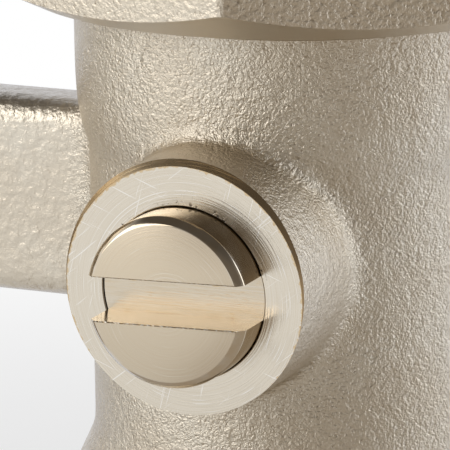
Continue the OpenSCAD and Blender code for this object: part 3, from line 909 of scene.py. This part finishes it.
class VALVE_OT_spindles(bpy.types.Operator):
    """Turns the two spindles, faces them and mills their slots"""
    bl_idname = "valve.spindles"
    bl_label = "Spindles"

    def execute(self, context):
        spindle = settings().spindle
        skin = material("spindle_nickel", spindle_nickel)
        end_skin = material("spindle_end_nickel", spindle_end_nickel)
        slot_skin = material("milled_nickel", milled_nickel)
        burr_skin = material("burr_nickel", burr_nickel)
        for side in SIDES:
            node = side + "_spindle"
            low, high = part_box(node)
            reach, tip = -low.y, -high.y
            place = on_spindle(side, getattr(spindle, side + "_turn"))
            stock = 1 * MM
            outline = spindle_outline(spindle, side, reach)
            outline[-1:] = [(outline[-2][0], reach + stock), (0, reach + stock)]
            piece = from_bmesh(node + "_finished", placed(turned(outline), place), skin)
            tang_l = 3 * MM
            tang = block((spindle.tang_t, spindle.tang_w, tang_l), (0, 0, tip + tang_l / 2))
            combine(piece, from_bmesh("tang", placed(tang, place), skin), "UNION")
            facing = block((4 * spindle.radius, 4 * spindle.radius, 2 * stock), (0, 0, reach + stock))
            combine(piece, from_bmesh("facing", placed(facing, place), end_skin))
            mill, wedge = slot_cutters(spindle, reach)
            combine(piece, from_bmesh("wedge", placed(wedge, place), burr_skin))
            combine(piece, from_bmesh("mill", placed(mill, place), slot_skin))
            smooth_skin(piece)
            fit(piece, side + "_spindle_set", "nickel_spindle", node)
        return {"FINISHED"}


# Inner pieces, which keep their nodes


class VALVE_OT_inner_pieces(bpy.types.Operator):
    """Gives the sleeves, balls, seats, rings and gaskets their finish"""
    bl_idname = "valve.inner_pieces"
    bl_label = "Inner Pieces"

    def execute(self, context):
        ptfe = material("seat_ptfe", plain("ptfe", 0.45, 0.1 * MM))
        rubber = material("seal_rubber", plain("rubber", 0.6, 0.15 * MM))
        finishes = {
            "union_sleeve": material("turned_nickel", turned_nickel),
            "ball": material("chrome_plate", chrome_plate),
            "upper_seat": ptfe, "lower_seat": ptfe, "thrust_washer": ptfe,
            "flat_gasket": rubber, "sleeve_seal_ring": rubber,
            "outer_seal_ring": rubber, "inner_seal_ring": rubber,
        }
        for side in SIDES:
            for name, skin in finishes.items():
                mesh = frame["nodes"][f"{side}_{name}"].data
                mesh.materials.clear()
                mesh.materials.append(skin)
        return {"FINISHED"}


# Studio


def aimed(obj, place, target, roll=0.0):
    """Puts a camera or lamp at a place, looking at a target, with its top up."""
    back = (place - target).normalized()
    level = Vector((0, 0, 1)).cross(back).normalized()
    upward = back.cross(level)
    right = math.cos(roll) * level + math.sin(roll) * upward
    top = -math.sin(roll) * level + math.cos(roll) * upward
    obj.matrix_world = Matrix((
        (right.x, top.x, back.x, place.x), (right.y, top.y, back.y, place.y),
        (right.z, top.z, back.z, place.z), (0, 0, 0, 1),
    ))


def middle_of_valve():
    """The point that the lamps and the surround are centred on."""
    return Vector(((leg_x("right") + leg_x("left")) / 2, 0, spindle_height()))


def soft_box(name, azimuth, elevation, wide, high, brightness, tint):
    """A soft lamp that fills wide by high degrees, seen from the valve. At brightness 1 it looks white."""
    distance = settings().studio.lamp_distance
    lamp = bpy.data.lights.new(name, "AREA")
    lamp.shape = "RECTANGLE"
    lamp.size = 2 * distance * math.tan(math.radians(wide / 2))
    lamp.size_y = 2 * distance * math.tan(math.radians(high / 2))
    lamp.energy = brightness * math.pi * lamp.size * lamp.size_y
    lamp.color = tint
    obj = bpy.data.objects.new(name, lamp)
    bpy.context.scene.collection.objects.link(obj)
    aimed(obj, middle_of_valve() + direction(azimuth, elevation) * distance, middle_of_valve())


def surround(nodes, way):
    """The studio's tone in a direction from the valve: pale all round, dim overhead and in front on the right."""
    studio = settings().studio
    height = nodes.split(way)["Z"]
    level = nodes.vector("NORMALIZE", nodes.vector("MULTIPLY", way, (1, 1, 0)))
    behind = nodes.vector("DOT_PRODUCT", level, direction(165))
    pale = nodes.blend(nodes.spread(behind, -0.2, 0.8), studio.pale_left, studio.pale_back)
    low_dim = nodes.spread(nodes.vector("DOT_PRODUCT", level, direction(50)), 0.72, 0.92)
    high_dim = nodes.spread(nodes.vector("DOT_PRODUCT", level, direction(35)), 0.2, 0.8)
    rise = nodes.spread(height, -0.12, 0.2)
    dusk = nodes.blend(rise, studio.dusk_low, studio.dusk_high)
    walls = nodes.blend(nodes.between(rise, low_dim, high_dim), pale, dusk)
    return nodes.blend(nodes.spread(height, 0.35, 0.75), walls, studio.overhead)


def studio_world():
    """The surround, which the camera sees as plain white."""
    world = bpy.data.worlds.new("studio")
    world.use_nodes = True
    nodes = Nodes(world.node_tree)
    way = nodes.add("TexCoord").outputs["Generated"]
    seen = nodes.add("LightPath").outputs["Is Camera Ray"]
    around = nodes.add("Background", {"Color": surround(nodes, way)})
    white = nodes.add("Background", {"Color": (1, 1, 1)})
    mix = nodes.add("MixShader", {0: seen, 1: around.outputs[0], 2: white.outputs[0]})
    nodes.add("OutputWorld", {"Surface": mix.outputs[0]})
    bpy.context.scene.world = world


def floor_paper(surface):
    """White paper that keeps a soft shadow. The camera sees it white, and the metal sees the surround in it."""
    path = surface.add("LightPath").outputs
    seen = surface.most(path["Is Camera Ray"], path["Is Glossy Ray"], path["Is Transmission Ray"])
    away = surface.vector("SUBTRACT", surface.place, middle_of_valve())
    tone_here = surround(surface, surface.vector("NORMALIZE", away))
    glow_tone = surface.blend(path["Is Camera Ray"], tone_here, (1, 1, 1))
    glow = surface.add("Emission", {"Color": glow_tone, "Strength": 1.0})
    paper = surface.add("BsdfDiffuse", {"Color": (0.88, 0.88, 0.88)})
    distance = surface.vector("LENGTH", away)
    share = surface.math("MULTIPLY", seen, surface.spread(distance, 40 * MM, 110 * MM, 0.7, 1.0))
    mix = surface.add("MixShader", {0: share, 1: paper.outputs[0], 2: glow.outputs[0]})
    surface.add("OutputMaterial", {"Surface": mix.outputs[0]})
    return surface.material


def set_camera(studio):
    """Stands the camera where it sees the valve as the picture shows it."""
    camera = bpy.data.cameras.new("camera")
    camera.sensor_width = 36
    camera.lens = studio.lens
    camera.clip_start = 0.01
    camera.clip_end = 20
    viewer = bpy.data.objects.new("camera", camera)
    bpy.context.scene.collection.objects.link(viewer)
    target = Vector((studio.target_x, 0, studio.target_z))
    way = direction(math.degrees(studio.azimuth), math.degrees(studio.elevation))
    aimed(viewer, target + way * studio.distance, target, studio.roll)
    bpy.context.scene.camera = viewer


class VALVE_OT_studio(bpy.types.Operator):
    """Sets the camera, the floor, the soft lamps and the pale surround"""
    bl_idname = "valve.studio"
    bl_label = "Studio"

    def execute(self, context):
        studio = settings().studio
        context.scene.view_settings.view_transform = "Standard"
        set_camera(studio)
        bm = bmesh.new()
        bmesh.ops.create_grid(bm, x_segments=1, y_segments=1, size=studio.floor)
        from_bmesh("floor", bm, material("floor_paper", floor_paper))
        soft_box("key", -46, 24, wide=48, high=36, brightness=1.9, tint=(1.0, 0.99, 0.97))
        soft_box("side", 108, 10, wide=34, high=44, brightness=1.3, tint=(0.94, 0.98, 1.0))
        studio_world()
        return {"FINISHED"}


class VALVE_PT_panel(bpy.types.Panel):
    """Lists the steps that build the valve's finish"""
    bl_idname = "VALVE_PT_panel"
    bl_label = "Radiator Valve"
    bl_space_type = "VIEW_3D"
    bl_region_type = "UI"
    bl_category = "Valve"

    def draw(self, context):
        for step in STEPS:
            self.layout.operator(step.bl_idname)
        for name in GROUPS:
            group = getattr(context.scene.valve, name)
            box = self.layout.box()
            box.label(text=name.title())
            for key in group.__annotations__:
                box.prop(group, key)


STEPS = (VALVE_OT_studio, VALVE_OT_forged_body, VALVE_OT_union_nuts, VALVE_OT_spindles, VALVE_OT_inner_pieces)
CLASSES = (*GROUPS.values(), ValveSettings, *STEPS, VALVE_PT_panel)


def register():
    for cls in CLASSES:
        bpy.utils.register_class(cls)
    bpy.types.Scene.valve = PointerProperty(type=ValveSettings)


def unregister():
    del bpy.types.Scene.valve
    for cls in reversed(CLASSES):
        bpy.utils.unregister_class(cls)


def main():
    """Builds the finish."""
    register()
    for step in STEPS:
        group, name = step.bl_idname.split(".")
        getattr(getattr(bpy.ops, group), name)()


if __name__ == "__main__":
    main()
